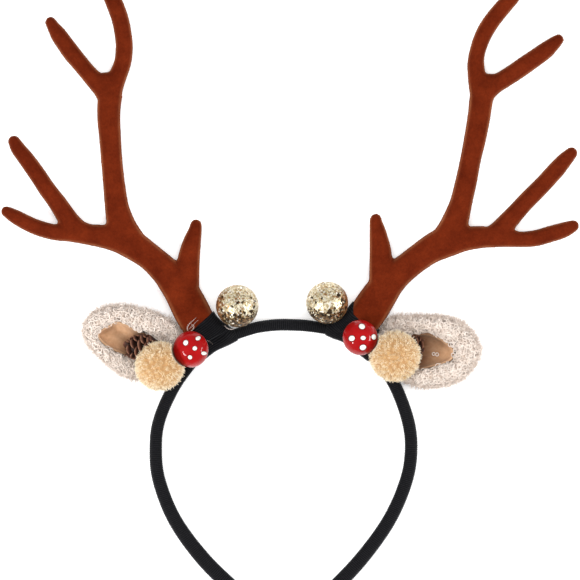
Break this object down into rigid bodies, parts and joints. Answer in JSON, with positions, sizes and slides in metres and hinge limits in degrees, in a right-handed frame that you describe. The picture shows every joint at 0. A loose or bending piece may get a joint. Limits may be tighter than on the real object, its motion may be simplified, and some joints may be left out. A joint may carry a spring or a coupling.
{
  "type": "reindeer antler headband",
  "caption": "Costume headband wound in black fabric, with branching flocked antlers, cupped fleece ears, glitter balls, yarn pompoms, spotted mushrooms and pine cones.",
  "frame": {"origin": "under the centre of the bounding box, on the surface that the headband lies on", "axes": "+X to the viewer's right, +Y from the band's tips up to the antlers' tips, +Z out of the front"},
  "size_m": [0.2883, 0.3143, 0.0303],
  "materials": {
    "band": "ribbed black ribbon, matte",
    "wrap": "wound black cloth tape, matte",
    "antler": "rust-brown velvet flock over moulded plastic",
    "fleece": "curly boucle fleece, pinkish cream",
    "lining": "tan suede cloth",
    "pine_cone": "natural dark brown scales",
    "pompom": "trimmed tan yarn",
    "mushroom_cap": "glossy red lacquer with raised white dots",
    "mushroom_stem": "plain foam",
    "glitter_ball": "champagne gold glitter"
  },
  "bodies": {
    "root": {"band": "band", "wrap_left": "wrap", "wrap_right": "wrap", "antler_left": "antler", "antler_right": "antler", "ear_fleece_left": "fleece", "ear_fleece_right": "fleece", "ear_lining_left": "lining", "ear_lining_right": "lining", "pine_cone_left": "pine_cone", "pine_cone_right": "pine_cone", "pompom_left": "pompom", "pompom_right": "pompom", "mushroom_cap_left": "mushroom_cap", "mushroom_cap_right": "mushroom_cap", "mushroom_stem_left": "mushroom_stem", "mushroom_stem_right": "mushroom_stem", "glitter_ball_left": "glitter_ball", "glitter_ball_right": "glitter_ball"}
  },
  "joints": []
}
